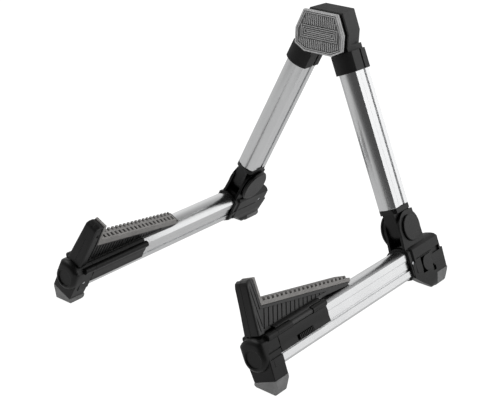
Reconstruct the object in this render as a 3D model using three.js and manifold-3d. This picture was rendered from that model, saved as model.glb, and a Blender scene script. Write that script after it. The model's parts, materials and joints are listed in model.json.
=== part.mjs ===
// Folding A-frame guitar stand: two mirror-image legs hinged at a padded head.
// Each leg is an upper tube, a lower rail that folds on a knuckle, and a cradle arm on a saddle.
// Millimetres, +Z up, front towards -Y. The origin is on the floor, at the middle of the footprint.
import * as THREE from "three";
import { ConvexGeometry } from "three/addons/geometries/ConvexGeometry.js";
import { mergeVertices } from "three/addons/utils/BufferGeometryUtils.js";
import Module from "manifold-3d";

const wasm = await Module();
wasm.setup();

// Stance
const railSpacing = 216.6; // between the centre lines of the two lower rails
const neckOffset = 21.55; // from the middle to the centre line of a leg where it enters the head
const railHeight = 29.7; // centre line of a lower rail above the floor
const length = 289.5; // front of the front caps' bosses to the back of the rear housings' feet
const fit = 0.3; // clearance between pieces that touch
const overrun = 2; // a cut passes the surface that it cuts by this much
const collar = { bottom: 189.4, top: 208.4, tubeEnd: 203.5, slotWidth: 2.6, slotDepth: 1.1 }; // leg's top end
const legTilt = Math.asin((railSpacing / 2 - neckOffset) / collar.top); // each leg leans in to the head

// Turns the places y, rim, front and rear, written as distances forward from the stand's back, into y
function placeFromBack(...groups) {
  for (const sizes of groups) {
    for (const key of ["y", "rim", "front", "rear"]) {
      if (key in sizes) sizes[key] = length - sizes[key];
    }
  }
}

// Extruded tube, the same section for rails and upper tubes, measured from its centre line
const tube = {
  half: 9.9,
  sideTop: 11.3,
  crown: 15.4,
  base: 12.7,
  bevel: 2.4,
  wall: 3,
  channelTop: 5.2,
  channelBottom: 4.6,
  channelDepth: 0.8,
  grooveTop: 2.9,
  grooveDepth: 1.8,
};
const archSteps = 8; // straight steps in the arched face

// Knuckle between rail and upper tube
const hinge = { y: 39.9, z: 32, pinRadius: 3 };
const tongue = { half: 6.3, radius: 14.7 };
const ear = { outer: 9.3, radius: 17.6, rootSpread: 19, tabFront: 6, tabRear: 12, tabTop: 16.6 };
const socketHeight = 5.4; // the hinge socket's block above the ears
const hingeCap = { radius: 12.8, thickness: 1.6, bevel: 0.5 };
const innerCap = { radius: 17.4, thickness: 4.4, bevel: 1.6 };
const upperSetForward = 3.1; // the upper tube's centre line lies this far in front of the hinge

// Lower rail and the sleeves on it
const railFront = 10.5;
const railShortfall = 51.5; // the rail ends this far in front of the stand's back
const railRear = length - railShortfall;
const sleeveWall = 2.3; // wall of the front caps, saddles and head collars

// Front cap and the rubber feet
const cap = { front: 5.2, rear: 22.8, recessHeight: 0.4, bevel: 5 };
const capRecess = { radius: 7.8, depth: 1.5, lip: 0.8, lipDepth: 0.6 };
const capFin = { upper: 2.2, lower: -3.1, width: 1.1, depth: 1, front: 7 };
const foot = {
  outer: 11.8,
  inner: 10.8,
  top: -20.3,
  soleOuter: 20.8,
  soleInner: 0.3,
  round: 6,
  innerRound: 5,
  innerSpread: 2,
  bulge: 1.2,
  rearRound: 6,
  frontRound: 0.5,
  corner: 1.2,
  soleCorner: 8,
  cornerHeight: 18,
};

// Rear housing
const housing = {
  rim: 60,
  rimWall: 2.2,
  front: 56.1,
  wall: 2.8,
  rear: 1.6,
  bevel: 3.4,
  rearRound: 11,
};
const chin = {
  front: 58.1,
  waistRun: 8.6,
  bellyRun: 12.5,
  heelRun: 11,
  soleRun: 5.5,
  lift: 0.9,
};
const chinHeight = { front: 22, waist: 16, belly: 8.6 };
const lock = {
  front: 41,
  rear: 25.9,
  bottom: -13.5,
  top: 1.6,
  inner: 10.6,
  proud: 0.4,
  travel: 2,
};

// Saddle on the rail, and the cradle arm that hinges on it
const saddle = { length: 69.2, bottom: -2.5, bulge: 0.5, waist: 2.9, flare: 0.4 };
const barrel = { x: 11.4, z: 14.3, radius: 2.4, ridge: 3.1, pinRadius: 1.1, share: 0.45 };
const latch = {
  front: 48.3,
  rear: 68.3,
  bottom: -1.2,
  top: 2.5,
  inner: 10.9,
  proud: 0.9,
  travel: 2.4,
  ribs: 9,
  ribDepth: 1.2,
};
const arm = { half: 6, front: 6, postTopFront: 11.3, postShoulder: 57.6, postTop: 62.3, postRear: 21.4 };
const post = {
  topOuter: 7.7,
  topInner: 6.4,
  bottomOuter: 9,
  bottomInner: 7.8,
  depth: 7,
  topRound: 2.4,
  edgeRound: 1.8,
  groovePitch: 3.4,
  groove: 0.9,
  grooveDepth: 0.6,
  border: 2.2,
};
const armSeat = { cornerHeight: 38.2, tip: 141.2, tipHeight: 16.2, noseRun: 7.2, slopeDrop: 3.5 };
const armPad = {
  thickness: 5.8,
  strip: 2.4,
  half: 6.3,
  step: 4.6,
  lip: 3.1,
  notches: 20,
  notchDepth: 2.8,
  notchWidth: 4.2,
  notchShare: 0.5,
  innerEdge: 2.1,
};

// Head on the tops of the two legs
const head = {
  topHalf: 18.6,
  half: 26.6,
  bottomHalf: 15.5,
  sink: 2.4,
  hipRise: 6.1,
  sideRise: 15.1,
  topRise: 18.4,
};
const headBottom = railHeight + collar.top * Math.cos(legTilt) - head.sink;
const headHip = headBottom + head.hipRise;
const headShoulder = headHip + head.sideRise;
const headTop = headShoulder + head.topRise;
const headInset = { top: 0.8, shoulder: 0.25, hip: 0.5, bottom: 0.5 }; // shares of a margin drawn in
const headPin = { rise: 10.7, radius: 3, headRadius: 6.5, headThickness: 2 };
const headPinHeight = headBottom + headPin.rise;
const headPad = { front: 63, thickness: 4.4, rimWidth: 2.6, relief: 1.5 };
placeFromBack(hinge, housing, chin, lock, headPad);
const headPlate = { thickness: 5.2, inset: 2.6 };
const headBlock = { depth: 28.5, bevel: 1, taper: 5.3 };

// Small screws: a pan head in a round counterbore
const screw = { headRadius: 1.6, headDepth: 0.7, shankRadius: 0.9, sink: 0.4, short: 0.7, long: 7 };

// Colours and finishes
const finishes = {
  aluminium: { color: 0xc9cbcc, roughness: 0.32, metalness: 1 },
  blackPlastic: { color: 0x1d1e1f, roughness: 0.5, metalness: 0 },
  greyRubber: { color: 0x6f7371, roughness: 0.85, metalness: 0 },
  armRubber: { color: 0x7b7c77, roughness: 0.85, metalness: 0 },
  steel: { color: 0xb9bbbd, roughness: 0.28, metalness: 1 },
};

// Geometry helpers

const weldTolerance = 1e-4;
const roundSteps = 32; // sides of a round piece
const smallSteps = 12; // sides of a pin or screw
const cornerSteps = 4; // steps of a foot's rounding
const backSteps = 5; // steps of the rounding on the rear housing's back and its ear's rear edge
const earSteps = 12; // steps round the front of an ear
const bearingSteps = 14; // steps round the bottom of the knuckle's tongue
const bevelSteps = 4; // steps of a large bevel, which is round; smaller ones are plain chamfers
const largeBevel = 4;

function solid(geometry) {
  geometry.deleteAttribute("normal");
  geometry.deleteAttribute("uv");
  const welded = mergeVertices(geometry, weldTolerance);
  const vertProperties = new Float32Array(welded.attributes.position.array);
  const triVerts = new Uint32Array(welded.index.array);
  return new wasm.Manifold(new wasm.Mesh({ numProp: 3, vertProperties, triVerts }));
}

function join(...solids) {
  return solids.reduce((whole, next) => whole.add(next));
}

function cut(body, ...tools) {
  return tools.reduce((whole, next) => whole.subtract(next), body);
}

const xAxis = new THREE.Vector3(1, 0, 0);
const yAxis = new THREE.Vector3(0, 1, 0);
const zAxis = new THREE.Vector3(0, 0, 1);
const acrossBasis = new THREE.Matrix4().makeBasis(yAxis, zAxis, xAxis);
const alongBasis = new THREE.Matrix4().makeBasis(xAxis, zAxis, yAxis.clone().negate());

function extruded(points, depth, bevel) {
  const shape = new THREE.Shape(points.map(([u, v]) => new THREE.Vector2(u, v)));
  const geometry = new THREE.ExtrudeGeometry(shape, {
    depth: depth - bevel * 2,
    bevelEnabled: bevel > 0,
    bevelThickness: bevel,
    bevelSize: bevel,
    bevelOffset: -bevel,
    bevelSegments: bevel > largeBevel ? bevelSteps : 1,
  });
  return geometry.translate(0, 0, bevel);
}

// A profile of [y, z] points swept across, from x0 to x1
function slabAcross(points, x0, x1, bevel = 0) {
  return extruded(points, x1 - x0, bevel).applyMatrix4(acrossBasis).translate(x0, 0, 0);
}

// A section of [x, z] points swept back, from y0 to y1
function barAlong(points, y0, y1, bevel = 0) {
  return extruded(points, y1 - y0, bevel).applyMatrix4(alongBasis).translate(0, y1, 0);
}

// A plan of [x, y] points swept up, from z0 to z1
function columnUp(points, z0, z1, bevel = 0) {
  return extruded(points, z1 - z0, bevel).translate(0, 0, z0);
}

function box(x0, x1, y0, y1, z0, z1) {
  const made = new THREE.BoxGeometry(x1 - x0, y1 - y0, z1 - z0);
  return made.translate((x0 + x1) / 2, (y0 + y1) / 2, (z0 + z1) / 2);
}

function rodAcross(y, z, radius, x0, x1, steps = smallSteps) {
  const made = new THREE.CylinderGeometry(radius, radius, x1 - x0, steps);
  return made.rotateZ(-Math.PI / 2).translate((x0 + x1) / 2, y, z);
}

function rodAlong(x, z, radius, y0, y1, steps = smallSteps) {
  const made = new THREE.CylinderGeometry(radius, radius, y1 - y0, steps);
  return made.translate(x, (y0 + y1) / 2, z);
}

function arc(u, v, radius, from, to, steps) {
  return Array.from({ length: steps + 1 }, (_, i) => {
    const angle = from + ((to - from) * i) / steps;
    return [u + radius * Math.cos(angle), v + radius * Math.sin(angle)];
  });
}

// A leg's own frame stands on its rail's centre line; these turn floor-level places into it
const legPlace = new THREE.Matrix4()
  .makeTranslation(railSpacing / 2, 0, railHeight)
  .multiply(new THREE.Matrix4().makeRotationY(-legTilt));
const legInverse = legPlace.clone().invert();

function fromFloor(x, height) {
  const place = new THREE.Vector3(x + railSpacing / 2, 0, height).applyMatrix4(legInverse);
  return [place.x, place.z];
}

// The tube's arched section as [x, z] points, grown outwards by a wall or clearance
function tubeOutline(grow, openChannels = false) {
  const half = tube.half + grow;
  const sideTop = tube.sideTop + (grow * (tube.crown - tube.sideTop)) / (tube.half - tube.bevel / 2);
  const crown = tube.crown + grow;
  const base = tube.base + grow;
  const rise = crown - sideTop;
  const radius = (half * half + rise * rise) / (rise * 2);
  const sweep = Math.asin(half / radius);
  const arch = arc(0, crown - radius, radius, Math.PI / 2 - sweep, Math.PI / 2 + sweep, archSteps);
  const channel = [
    [tube.half, -tube.channelBottom],
    [tube.half - tube.grooveDepth, -tube.channelBottom],
    [tube.half - tube.grooveDepth, -tube.grooveTop],
    [tube.half - tube.channelDepth, -tube.grooveTop],
    [tube.half - tube.channelDepth, tube.channelTop],
    [tube.half, tube.channelTop],
  ];
  const bevel = tube.bevel + Math.max(grow, 0);
  const right = [[half - bevel, -base], [half, bevel - base], ...(openChannels ? channel : [])];
  const left = right.map(([x, z]) => [-x, z]).reverse();
  return [...right, ...arch, ...left];
}

const upperAxisY = hinge.y - upperSetForward;

function upperPlan(grow, openChannels = false) {
  return tubeOutline(grow, openChannels).map(([x, z]) => [x, upperAxisY - z]);
}

// A screw that enters a side face at x = surface, where side is 1 outside and -1 inside
function screwShape(y, z, surface, side, slack, shankLength) {
  const headFace = surface - screw.sink;
  const under = headFace - screw.headDepth;
  const tip = under - shankLength;
  const headEnd = slack > 0 ? surface + overrun : headFace;
  const shank = rodAcross(y, z, screw.shankRadius + slack, tip - slack, under + slack);
  const headDisc = rodAcross(y, z, screw.headRadius + slack, under - slack, headEnd);
  const both = side > 0 ? [shank, headDisc] : [shank.rotateZ(Math.PI), headDisc.rotateZ(Math.PI)];
  if (side < 0) both.forEach((g) => g.translate(0, y * 2, 0));
  return join(...both.map(solid));
}

const screwBody = (y, z, surface, side, shank = screw.short) => screwShape(y, z, surface, side, 0, shank);
const screwHole = (y, z, surface, side, shank = screw.short) => screwShape(y, z, surface, side, fit, shank);

// Tubes

function makeLowerRail() {
  const outer = solid(barAlong(tubeOutline(0, true), railFront, railRear));
  return cut(outer, solid(barAlong(tubeOutline(-tube.wall), railFront - overrun, railRear + overrun)));
}

const socketTop = hinge.z + ear.radius + socketHeight;

function makeUpperTube() {
  const bottom = socketTop + fit;
  const outer = solid(columnUp(upperPlan(0, true), bottom, collar.tubeEnd));
  return cut(outer, solid(columnUp(upperPlan(-tube.wall), bottom - overrun, collar.tubeEnd + overrun)));
}

// A side profile of [y, height above the floor] points swept across under one leg
function onFloor(points) {
  return solid(slabAcross(points, 0, railSpacing).applyMatrix4(legInverse));
}

// Feet: a section in the leg's frame whose outer side stands upright and whose sole lies on the floor

function footSection(top, lift) {
  const low = lift + foot.round;
  const inLow = lift + foot.innerRound;
  const outerCurve = arc(foot.soleOuter - foot.round, low, foot.round, 0, -Math.PI / 2, cornerSteps);
  const innerX = foot.soleInner + foot.innerRound - foot.innerSpread;
  const innerCurve = arc(innerX, inLow, foot.innerRound, -Math.PI / 2, -Math.PI, cornerSteps);
  const onFloor = [...outerCurve, ...innerCurve].map(([x, height]) => fromFloor(x, height));
  return [[foot.outer, top], ...onFloor, [-foot.inner, top]];
}

const footTopShare = 0.6; // a foot's rear bulge starts at this share of the rail's height
const bulgeShare = 1.5; // the bulge is fullest up to this share of the rear rounding

// A foot's side profile: rounded lower edges and a rear that bulges out towards the floor
function soleProfile(y0, y1, bulge, front, rear) {
  const high = railHeight;
  const points = [
    [y0, high],
    ...arc(y0 + front, front, front, -Math.PI, -Math.PI / 2, cornerSteps),
    ...arc(y1 + bulge - rear, rear, rear, -Math.PI / 2, 0, cornerSteps),
    [y1 + bulge, rear * bulgeShare],
    [y1, high * footTopShare],
    [y1, high],
  ];
  return onFloor(points);
}

// A rectangle's plan with its two outer corners, those at x1, rounded
function softPlan(x0, x1, y0, y1, round) {
  return [
    [x0, y0],
    ...arc(x1 - round, y0 + round, round, -Math.PI / 2, 0, cornerSteps),
    ...arc(x1 - round, y1 - round, round, 0, Math.PI / 2, cornerSteps),
    [x0, y1],
  ];
}

// A column whose outer corners, between y0 and y1, grow rounder towards the floor
function footCorners(y0, y1) {
  const plans = [[foot.soleCorner, 0], [foot.corner, foot.cornerHeight]];
  const corners = plans.flatMap(([round, z]) =>
    softPlan(0, railSpacing / 2 + foot.soleOuter, y0, y1, round).map(([x, y]) => new THREE.Vector3(x, y, z)),
  );
  return solid(new ConvexGeometry(corners).applyMatrix4(legInverse));
}

function makeFrontFoot() {
  const rear = cap.rear + foot.bulge;
  const block = solid(barAlong(footSection(foot.top - fit, 0), cap.front, rear));
  const profile = soleProfile(cap.front, cap.rear - fit, foot.bulge, foot.round, foot.rearRound);
  return block.intersect(profile).intersect(footCorners(cap.front, rear));
}

const chinWaist = chin.front + chin.waistRun;
const chinBelly = chinWaist + chin.bellyRun;
const chinHeel = chinBelly + chin.heelRun;
const soleFront = chinHeel + chin.soleRun;

function makeRearFoot() {
  const front = soleFront + fit;
  const rear = length - fit;
  const block = solid(barAlong(footSection(foot.top - fit, 0), front, rear));
  const profile = soleProfile(front, rear, 0, foot.frontRound, foot.rearRound);
  return block.intersect(profile).intersect(footCorners(front - foot.soleCorner, rear));
}

// Front cap: a sleeve on the rail's end with a rounded nose and the block that holds the foot

const capScrew = { y: 15.2, z: -2 };

function makeFrontCap() {
  const upper = tubeOutline(sleeveWall).filter(([, z]) => z > 0);
  const belly = arc(0, 0, tube.half + sleeveWall, Math.PI, Math.PI * 2, roundSteps / 2);
  const nose = solid(barAlong([...upper, ...belly], 0, cap.rear - cap.bevel, cap.bevel));
  const sleeve = solid(barAlong(tubeOutline(sleeveWall), railFront, cap.rear));
  const recesses = [
    [capRecess.radius, capRecess.depth],
    [capRecess.radius + capRecess.lip, capRecess.lipDepth],
  ].map(([radius, depth]) => solid(rodAlong(0, cap.recessHeight, radius, -overrun, depth, roundSteps)));
  const hip = tube.half + sleeveWall;
  const blockSection = [
    [hip, 0],
    [foot.outer, foot.top],
    [-foot.inner, foot.top],
    [-hip, 0],
  ];
  const corners = columnUp(softPlan(-hip, hip, cap.front, cap.rear + foot.corner, foot.corner), foot.top, 0);
  const block = solid(barAlong(blockSection, cap.front, cap.rear)).intersect(solid(corners));
  const slopeTop = -tube.base / 2;
  const rearSlope = slabAcross(
    [
      [cap.front, 0],
      [cap.front, foot.top],
      [cap.rear - fit, foot.top],
      [cap.rear, slopeTop],
      [cap.rear, 0],
    ],
    -hip - overrun,
    hip + overrun,
  );
  const shoulders = [barrel.x, -barrel.x].map((x) =>
    solid(rodAlong(x, barrel.z, barrel.ridge, railFront, cap.rear, roundSteps)),
  );
  const body = join(nose, sleeve, block.intersect(solid(rearSlope)), ...shoulders);
  const cavity = solid(barAlong(tubeOutline(fit), railFront - fit, cap.rear + overrun));
  const fins = [capFin.upper, capFin.lower].map((z) =>
    solid(
      box(
        tube.half + sleeveWall - capFin.depth,
        tube.half + sleeveWall + overrun,
        capFin.front,
        cap.rear + overrun,
        z - capFin.width / 2,
        z + capFin.width / 2,
      ),
    ),
  );
  const surface = tube.half + sleeveWall;
  return cut(body, cavity, ...recesses, ...fins, screwHole(capScrew.y, capScrew.z, surface, -1));
}

// Rear housing: a sleeve on the rail's end with the two ears of the knuckle and the heel that holds the foot

const rearScrewOuter = { y: 56.3, z: 0.9 };
const rearScrewInner = { y: 15.5, z: 3.6 };
const slotWindow = { front: 21, rear: 7.2, bottom: -1.2, top: 3.9, depth: 1.8 };
const sideGroove = { front: 50.7, z: 3.2, width: 1.2, depth: 1 };
const bracePocket = { front: 24.5, rear: 19.9, bottom: -17.2, top: -9.7, depth: 2.4 };
const earDip = THREE.MathUtils.degToRad(11); // an ear's round edge runs on this far below its centre
const innerGroove = { front: 50.9, rear: 20, z: 0.9, width: 1, depth: 0.8 };
placeFromBack(rearScrewOuter, rearScrewInner, slotWindow, sideGroove, bracePocket, innerGroove);

function makeRearHousing() {
  const side = tube.half + housing.wall;
  const rim = solid(barAlong(tubeOutline(housing.rimWall), housing.rim, housing.front));
  const body = solid(barAlong(tubeOutline(housing.wall), housing.front, housing.rear, housing.bevel));
  const crown = tube.crown + housing.wall;
  const round = housing.rearRound;
  const backProfile = [
    [housing.front, -tube.base - housing.wall],
    [housing.rear, -tube.base - housing.wall],
    ...arc(housing.rear - round, crown - round, round, 0, Math.PI / 2, backSteps),
    [housing.front, crown],
  ];
  const heelProfile = [
    [chin.front, railSpacing / 2],
    [chin.front, chinHeight.front],
    [chinWaist, chinHeight.waist],
    [chinBelly, chinHeight.belly],
    [chinHeel, chin.lift],
    [housing.rear, chin.lift],
    [housing.rear, railSpacing / 2],
  ];
  const heelSection = [[side, 0], ...footSection(foot.top, chin.lift), [-side, 0]];
  const heel = solid(barAlong(heelSection, chin.front, housing.rear));
  const footRoom = solid(box(-railHeight, railHeight, soleFront, length, -length, foot.top));
  const heelShaped = cut(heel.intersect(onFloor(heelProfile)), footRoom);
  const rootTop = tube.crown;
  const earProfile = [
    [hinge.y - ear.rootSpread, rootTop - tube.bevel],
    [hinge.y - ear.rootSpread, rootTop],
    ...arc(hinge.y, hinge.z, ear.radius, Math.PI + earDip, Math.acos(ear.tabFront / ear.radius), earSteps),
    [hinge.y + ear.tabRear, hinge.z + ear.tabTop],
    ...arc(hinge.y, hinge.z, ear.radius, Math.acos(ear.tabRear / ear.radius), -earDip, backSteps),
    [hinge.y + ear.radius, rootTop],
    [hinge.y + ear.radius, rootTop - tube.bevel],
  ];
  const earInner = tongue.half + fit;
  const ears = [
    solid(slabAcross(earProfile, earInner, ear.outer)),
    solid(slabAcross(earProfile, -ear.outer, -earInner)),
  ];
  const cavity = solid(barAlong(tubeOutline(fit), housing.rim - overrun, railRear + fit));
  const roll = solid(rodAcross(hinge.y, hinge.z, tongue.radius + fit, -earInner, earInner, roundSteps));
  const pinHole = solid(rodAcross(hinge.y, hinge.z, hinge.pinRadius + fit, -side, side));
  const pocket = solid(
    box(
      lock.inner - lock.travel - fit,
      side + overrun,
      lock.front - lock.travel,
      lock.rear + fit,
      lock.bottom - fit,
      lock.top + fit,
    ),
  );
  const windowCut = solid(
    box(
      side - slotWindow.depth,
      side + overrun,
      slotWindow.front,
      slotWindow.rear,
      slotWindow.bottom,
      slotWindow.top,
    ),
  );
  const outerLine = solid(
    box(
      side - sideGroove.depth,
      side + overrun,
      sideGroove.front,
      slotWindow.front + fit,
      sideGroove.z - sideGroove.width / 2,
      sideGroove.z + sideGroove.width / 2,
    ),
  );
  const innerLine = solid(
    box(
      -side - overrun,
      innerGroove.depth - side,
      innerGroove.front,
      innerGroove.rear,
      innerGroove.z - innerGroove.width / 2,
      innerGroove.z + innerGroove.width / 2,
    ),
  );
  const brace = [
    [bracePocket.front, bracePocket.bottom],
    [bracePocket.rear, bracePocket.bottom],
    [bracePocket.rear, (bracePocket.bottom + bracePocket.top) / 2],
    [bracePocket.front, bracePocket.top],
  ];
  return cut(
    join(rim, body.intersect(solid(slabAcross(backProfile, -side, side))), heelShaped, ...ears),
    cavity,
    roll,
    pinHole,
    pocket,
    windowCut,
    outerLine,
    innerLine,
    solid(slabAcross(brace, side - bracePocket.depth, side + overrun)),
    screwHole(rearScrewOuter.y, rearScrewOuter.z, side, 1),
    screwHole(rearScrewInner.y, rearScrewInner.z, side, -1),
  );
}

// Lock button: a plate in the housing's outer side that is pressed in to free the knuckle

function makeLockButton() {
  const face = tube.half + housing.wall + lock.proud;
  const plate = box(lock.inner, face, lock.front, lock.rear, lock.bottom, lock.top);
  const nose = rodAcross(0, 0, (lock.top - lock.bottom) / 2, lock.inner, face, roundSteps);
  const noseShift = (lock.rear - lock.front) / 2;
  nose.translate(0, lock.front + noseShift, (lock.top + lock.bottom) / 2);
  const front = box(
    lock.inner,
    face,
    lock.front + noseShift,
    lock.rear,
    lock.bottom,
    lock.top,
  );
  return solid(plate).intersect(join(solid(nose), solid(front)));
}

// Knuckle

function makeHingeSocket() {
  const shoulder = hinge.z + ear.radius + fit * 2;
  const frontTop = upperAxisY - tube.crown;
  const bearing = arc(hinge.y, hinge.z, tongue.radius, Math.PI, Math.PI * 2, bearingSteps);
  const profile = [
    [frontTop, socketTop],
    [frontTop + tube.bevel, shoulder - fit],
    ...bearing,
    [upperAxisY + tube.base, socketTop],
  ];
  const block = solid(columnUp(upperPlan(0), shoulder, socketTop));
  const front = slabAcross(
    [
      [frontTop, socketTop],
      [frontTop + tube.bevel, shoulder - fit],
      [upperAxisY + tube.base + overrun, shoulder - fit],
      [upperAxisY + tube.base + overrun, socketTop],
    ],
    -tube.half - overrun,
    tube.half + overrun,
  );
  const blade = solid(slabAcross(profile, -tongue.half, tongue.half));
  const spigotTop = socketTop + ear.radius;
  const spigot = solid(columnUp(upperPlan(-tube.wall - fit), shoulder, spigotTop));
  const hole = solid(rodAcross(hinge.y, hinge.z, hinge.pinRadius + fit, -tube.half, tube.half));
  return cut(join(block.intersect(solid(front)), blade, spigot), hole);
}

function makeHingePin() {
  return solid(rodAcross(hinge.y, hinge.z, hinge.pinRadius, -ear.outer, ear.outer));
}

function makeHingeCap(side) {
  const { radius, thickness, bevel } = side > 0 ? hingeCap : innerCap;
  const circle = arc(hinge.y, hinge.z, radius, 0, Math.PI * 2, roundSteps).slice(1);
  const near = ear.outer + fit;
  const far = near + thickness;
  const [x0, x1] = side > 0 ? [near, far] : [-far, -near];
  return solid(slabAcross(circle, x0, x1, bevel));
}

// Saddle: hooks into the rail's channels and carries the arm's long hinge on its outer shoulder

const saddleFront = cap.rear + fit;
const saddleRear = saddleFront + saddle.length;
const barrelEnd = barrel.radius; // the hinge stops short of the saddle's ends by this
const knuckleLength = (saddle.length - barrelEnd * 2) * barrel.share;
const knuckleFront = (saddleFront + saddleRear - knuckleLength) / 2;
const knuckleRear = knuckleFront + knuckleLength;

function makeSaddle() {
  const side = tube.half + sleeveWall;
  const outline = tubeOutline(sleeveWall).filter(([, z]) => z > 0);
  const wave = [
    [side + saddle.flare, saddle.bottom],
    [side, saddle.waist],
    [side + saddle.bulge, (saddle.waist + tube.sideTop) / 2],
  ];
  const mirrored = wave.map(([x, z]) => [-x, z]).reverse();
  const shell = solid(barAlong([...wave, ...outline, ...mirrored], saddleFront, saddleRear));
  const bore = solid(barAlong(tubeOutline(fit), saddleFront - overrun, saddleRear + overrun));
  const hookIn = tube.half - tube.channelDepth + fit;
  const hookTop = saddle.bottom + tube.wall / 2;
  const hooks = [
    solid(box(hookIn, side - fit, saddleFront, saddleRear, saddle.bottom, hookTop)),
    solid(box(fit - side, -hookIn, saddleFront, saddleRear, saddle.bottom, hookTop)),
  ];
  const { x, z, radius, ridge } = barrel;
  const front = solid(rodAlong(x, z, ridge, saddleFront, knuckleFront - fit, roundSteps));
  const rear = solid(rodAlong(x, z, ridge, knuckleRear + fit, saddleRear, roundSteps));
  const innerShoulder = solid(rodAlong(-x, z, ridge, saddleFront, saddleRear, roundSteps));
  const gap = solid(rodAlong(x, z, radius + fit, knuckleFront - fit, knuckleRear + fit));
  const pinHole = solid(rodAlong(x, z, barrel.pinRadius + fit, saddleFront, saddleRear));
  const pocket = solid(
    box(
      latch.inner - fit,
      side + overrun,
      latch.front - latch.travel - fit,
      latch.rear + fit,
      latch.bottom - fit,
      latch.top + fit,
    ),
  );
  const carved = join(cut(shell, bore), ...hooks, cut(join(front, rear, innerShoulder), bore));
  return cut(carved, gap, pinHole, pocket);
}

function makeArmPin() {
  const from = saddleFront + barrelEnd;
  return solid(rodAlong(barrel.x, barrel.z, barrel.pinRadius, from, saddleRear - barrelEnd));
}

// Arm latch: a ribbed slide in the saddle's outer side

function makeSaddleLatch() {
  const face = tube.half + sleeveWall + latch.proud;
  const floor = face - latch.ribDepth;
  const base = solid(box(latch.inner, floor, latch.front, latch.rear, latch.bottom, latch.top));
  const pitch = (latch.rear - latch.front) / latch.ribs;
  const ribs = Array.from({ length: latch.ribs }, (_, i) => {
    const y0 = latch.front + pitch * i;
    return solid(box(floor - fit, face, y0, y0 + pitch / 2, latch.bottom, latch.top));
  });
  return join(base, ...ribs);
}

// Cradle arm: two shells screwed together from the inner side, with a rubber pad on its seat

const armBottom = tube.crown + sleeveWall + fit;
const seatSlope = (armSeat.cornerHeight - armSeat.tipHeight) / (armSeat.tip - arm.postRear);

const cornerShare = 0.28; // how far a rounded corner's middle lies in from the sharp corner

// The arm's side outline, drawn in by a margin for the panels
function armOutline(margin) {
  const bottom = armBottom + margin;
  const lean = (arm.postTopFront - arm.front) / (arm.postShoulder - armBottom);
  const corner = [arm.postRear - margin, armSeat.cornerHeight - margin];
  const seatAt = (y) => corner[1] - (y - corner[0]) * seatSlope;
  const tipY = margin > 0 ? corner[0] + (corner[1] - bottom) / seatSlope - margin : armSeat.tip;
  const nose = margin > 0 ? [] : [[armSeat.tip - armSeat.noseRun, armBottom - armSeat.slopeDrop]];
  const heel = margin > 0 ? [] : [[saddleRear + fit, bottom]];
  const radius = arm.postTop - arm.postShoulder;
  return [
    [arm.front + margin, bottom],
    [arm.postTopFront + margin, arm.postShoulder - margin],
    [arm.postTopFront + margin + radius * cornerShare, arm.postTop - margin - radius * cornerShare],
    [arm.postTopFront + margin + radius, arm.postTop - margin],
    [arm.postRear - margin, arm.postTop - margin - lean * radius * 2],
    corner,
    [tipY, margin > 0 ? bottom : seatAt(armSeat.tip)],
    ...nose,
    ...heel,
  ];
}

const outerPanel = { margin: 2, depth: 0.6, groove: 1.3, pitch: 6, lean: 0.44, grooveDepth: 0.9, lip: 1.6 };
const innerPanel = { margin: 1.2, depth: 0.5, groove: 1.4, pitch: 4, lean: 0.1, grooveDepth: 0.8 };

// Screws of the arm, each at a share of the arm's height there; the last sits where the arm is this deep
const postScrew = { y: 16.4, share: 0.774 };
const seatScrews = [
  { y: 19.8, share: 0.171 },
  { y: 47.3, share: 0.227 },
  { y: 61.9, share: 0.533 },
  { y: 77.7, share: 0.355 },
];
const lastScrew = { depth: 3.14, share: 0.573 };
const lastScrewY = arm.postRear + (armSeat.cornerHeight - armBottom - lastScrew.depth) / seatSlope;
const armScrews = [
  [postScrew.y, armBottom + (arm.postTop - armBottom) * postScrew.share],
  ...[...seatScrews, { y: lastScrewY, share: lastScrew.share }].map(({ y, share }) => [
    y,
    armBottom + (armSeat.cornerHeight - (y - arm.postRear) * seatSlope - armBottom) * share,
  ]),
];
const armSplit = fit / 2;

// The recess and its slanted grooves that a panel takes out of an arm's side face
function panelCuts(panel, side) {
  const outline = armOutline(panel.margin);
  const face = arm.half - panel.depth;
  const deep = face - panel.grooveDepth;
  const [f0, f1] = side > 0 ? [face, arm.half + overrun] : [-arm.half - overrun, -face];
  const [g0, g1] = side > 0 ? [deep, arm.half] : [-arm.half, -deep];
  const recess = solid(slabAcross(outline, f0, f1));
  const zone = solid(slabAcross(outline, g0, g1));
  const top = arm.postTop;
  const run = (top - armBottom) * panel.lean;
  const count = Math.floor((armSeat.tip - arm.front + run) / panel.pitch);
  const grooves = Array.from({ length: count }, (_, i) => {
    const y = arm.front - run + panel.pitch * (i + 1);
    const slant = [
      [y, armBottom],
      [y + panel.groove, armBottom],
      [y + panel.groove + run, top],
      [y + run, top],
    ];
    return solid(slabAcross(slant, g0, g1));
  });
  const inPost = side > 0 ? postMask(g0, g1) : null;
  const field = join(...grooves).intersect(zone);
  return inPost ? [recess, cut(field, inPost)] : [recess, field];
}

// The post's side as [y, z] points, drawn in by a border, down to the line where the slanted grooves start
function postZone(border) {
  const run = (armSeat.cornerHeight - armBottom) * outerPanel.lean;
  return [
    [arm.front + border, armBottom + border],
    [arm.postRear - run - border / 2, armBottom + border],
    [arm.postRear - border / 2, armSeat.cornerHeight],
    [arm.postRear - border / 2, arm.postTop - border],
    [arm.postTopFront + border + post.topRound, arm.postTop - border],
    [arm.postTopFront + border, arm.postShoulder],
  ];
}

// On the outer side the slanted grooves stop at the post
function postMask(x0, x1) {
  return solid(slabAcross(postZone(-overrun), x0, x1));
}

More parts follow.
